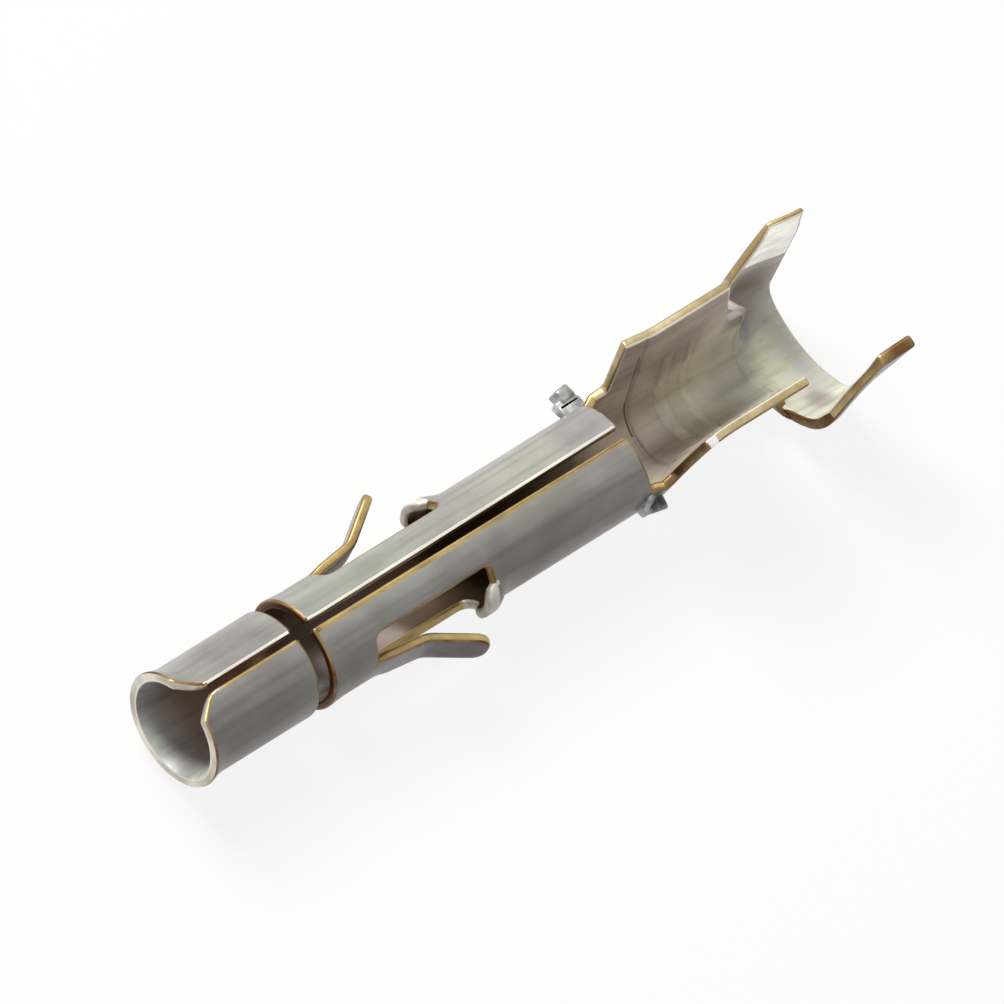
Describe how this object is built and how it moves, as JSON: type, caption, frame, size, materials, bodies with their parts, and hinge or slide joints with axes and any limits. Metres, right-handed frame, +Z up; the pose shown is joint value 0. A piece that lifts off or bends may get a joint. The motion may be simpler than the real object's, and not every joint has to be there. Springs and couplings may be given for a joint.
{
  "type": "round crimp socket terminal",
  "caption": "Rolled sheet-metal socket terminal for a round pin, with side locking lances and open crimp wings for the wire and its insulation.",
  "frame": {"origin": "on the barrel's axis, in the plane of the socket's mouth", "axes": "+X from the mouth towards the crimp end, +Z up through the seam and the open side of the crimp, +Y to the side"},
  "size_m": [0.0236, 0.0054, 0.0048],
  "materials": {
    "tinned_brass": "satin tin plating over brass"
  },
  "bodies": {
    "root": {"socket_terminal": "tinned_brass"}
  },
  "joints": []
}
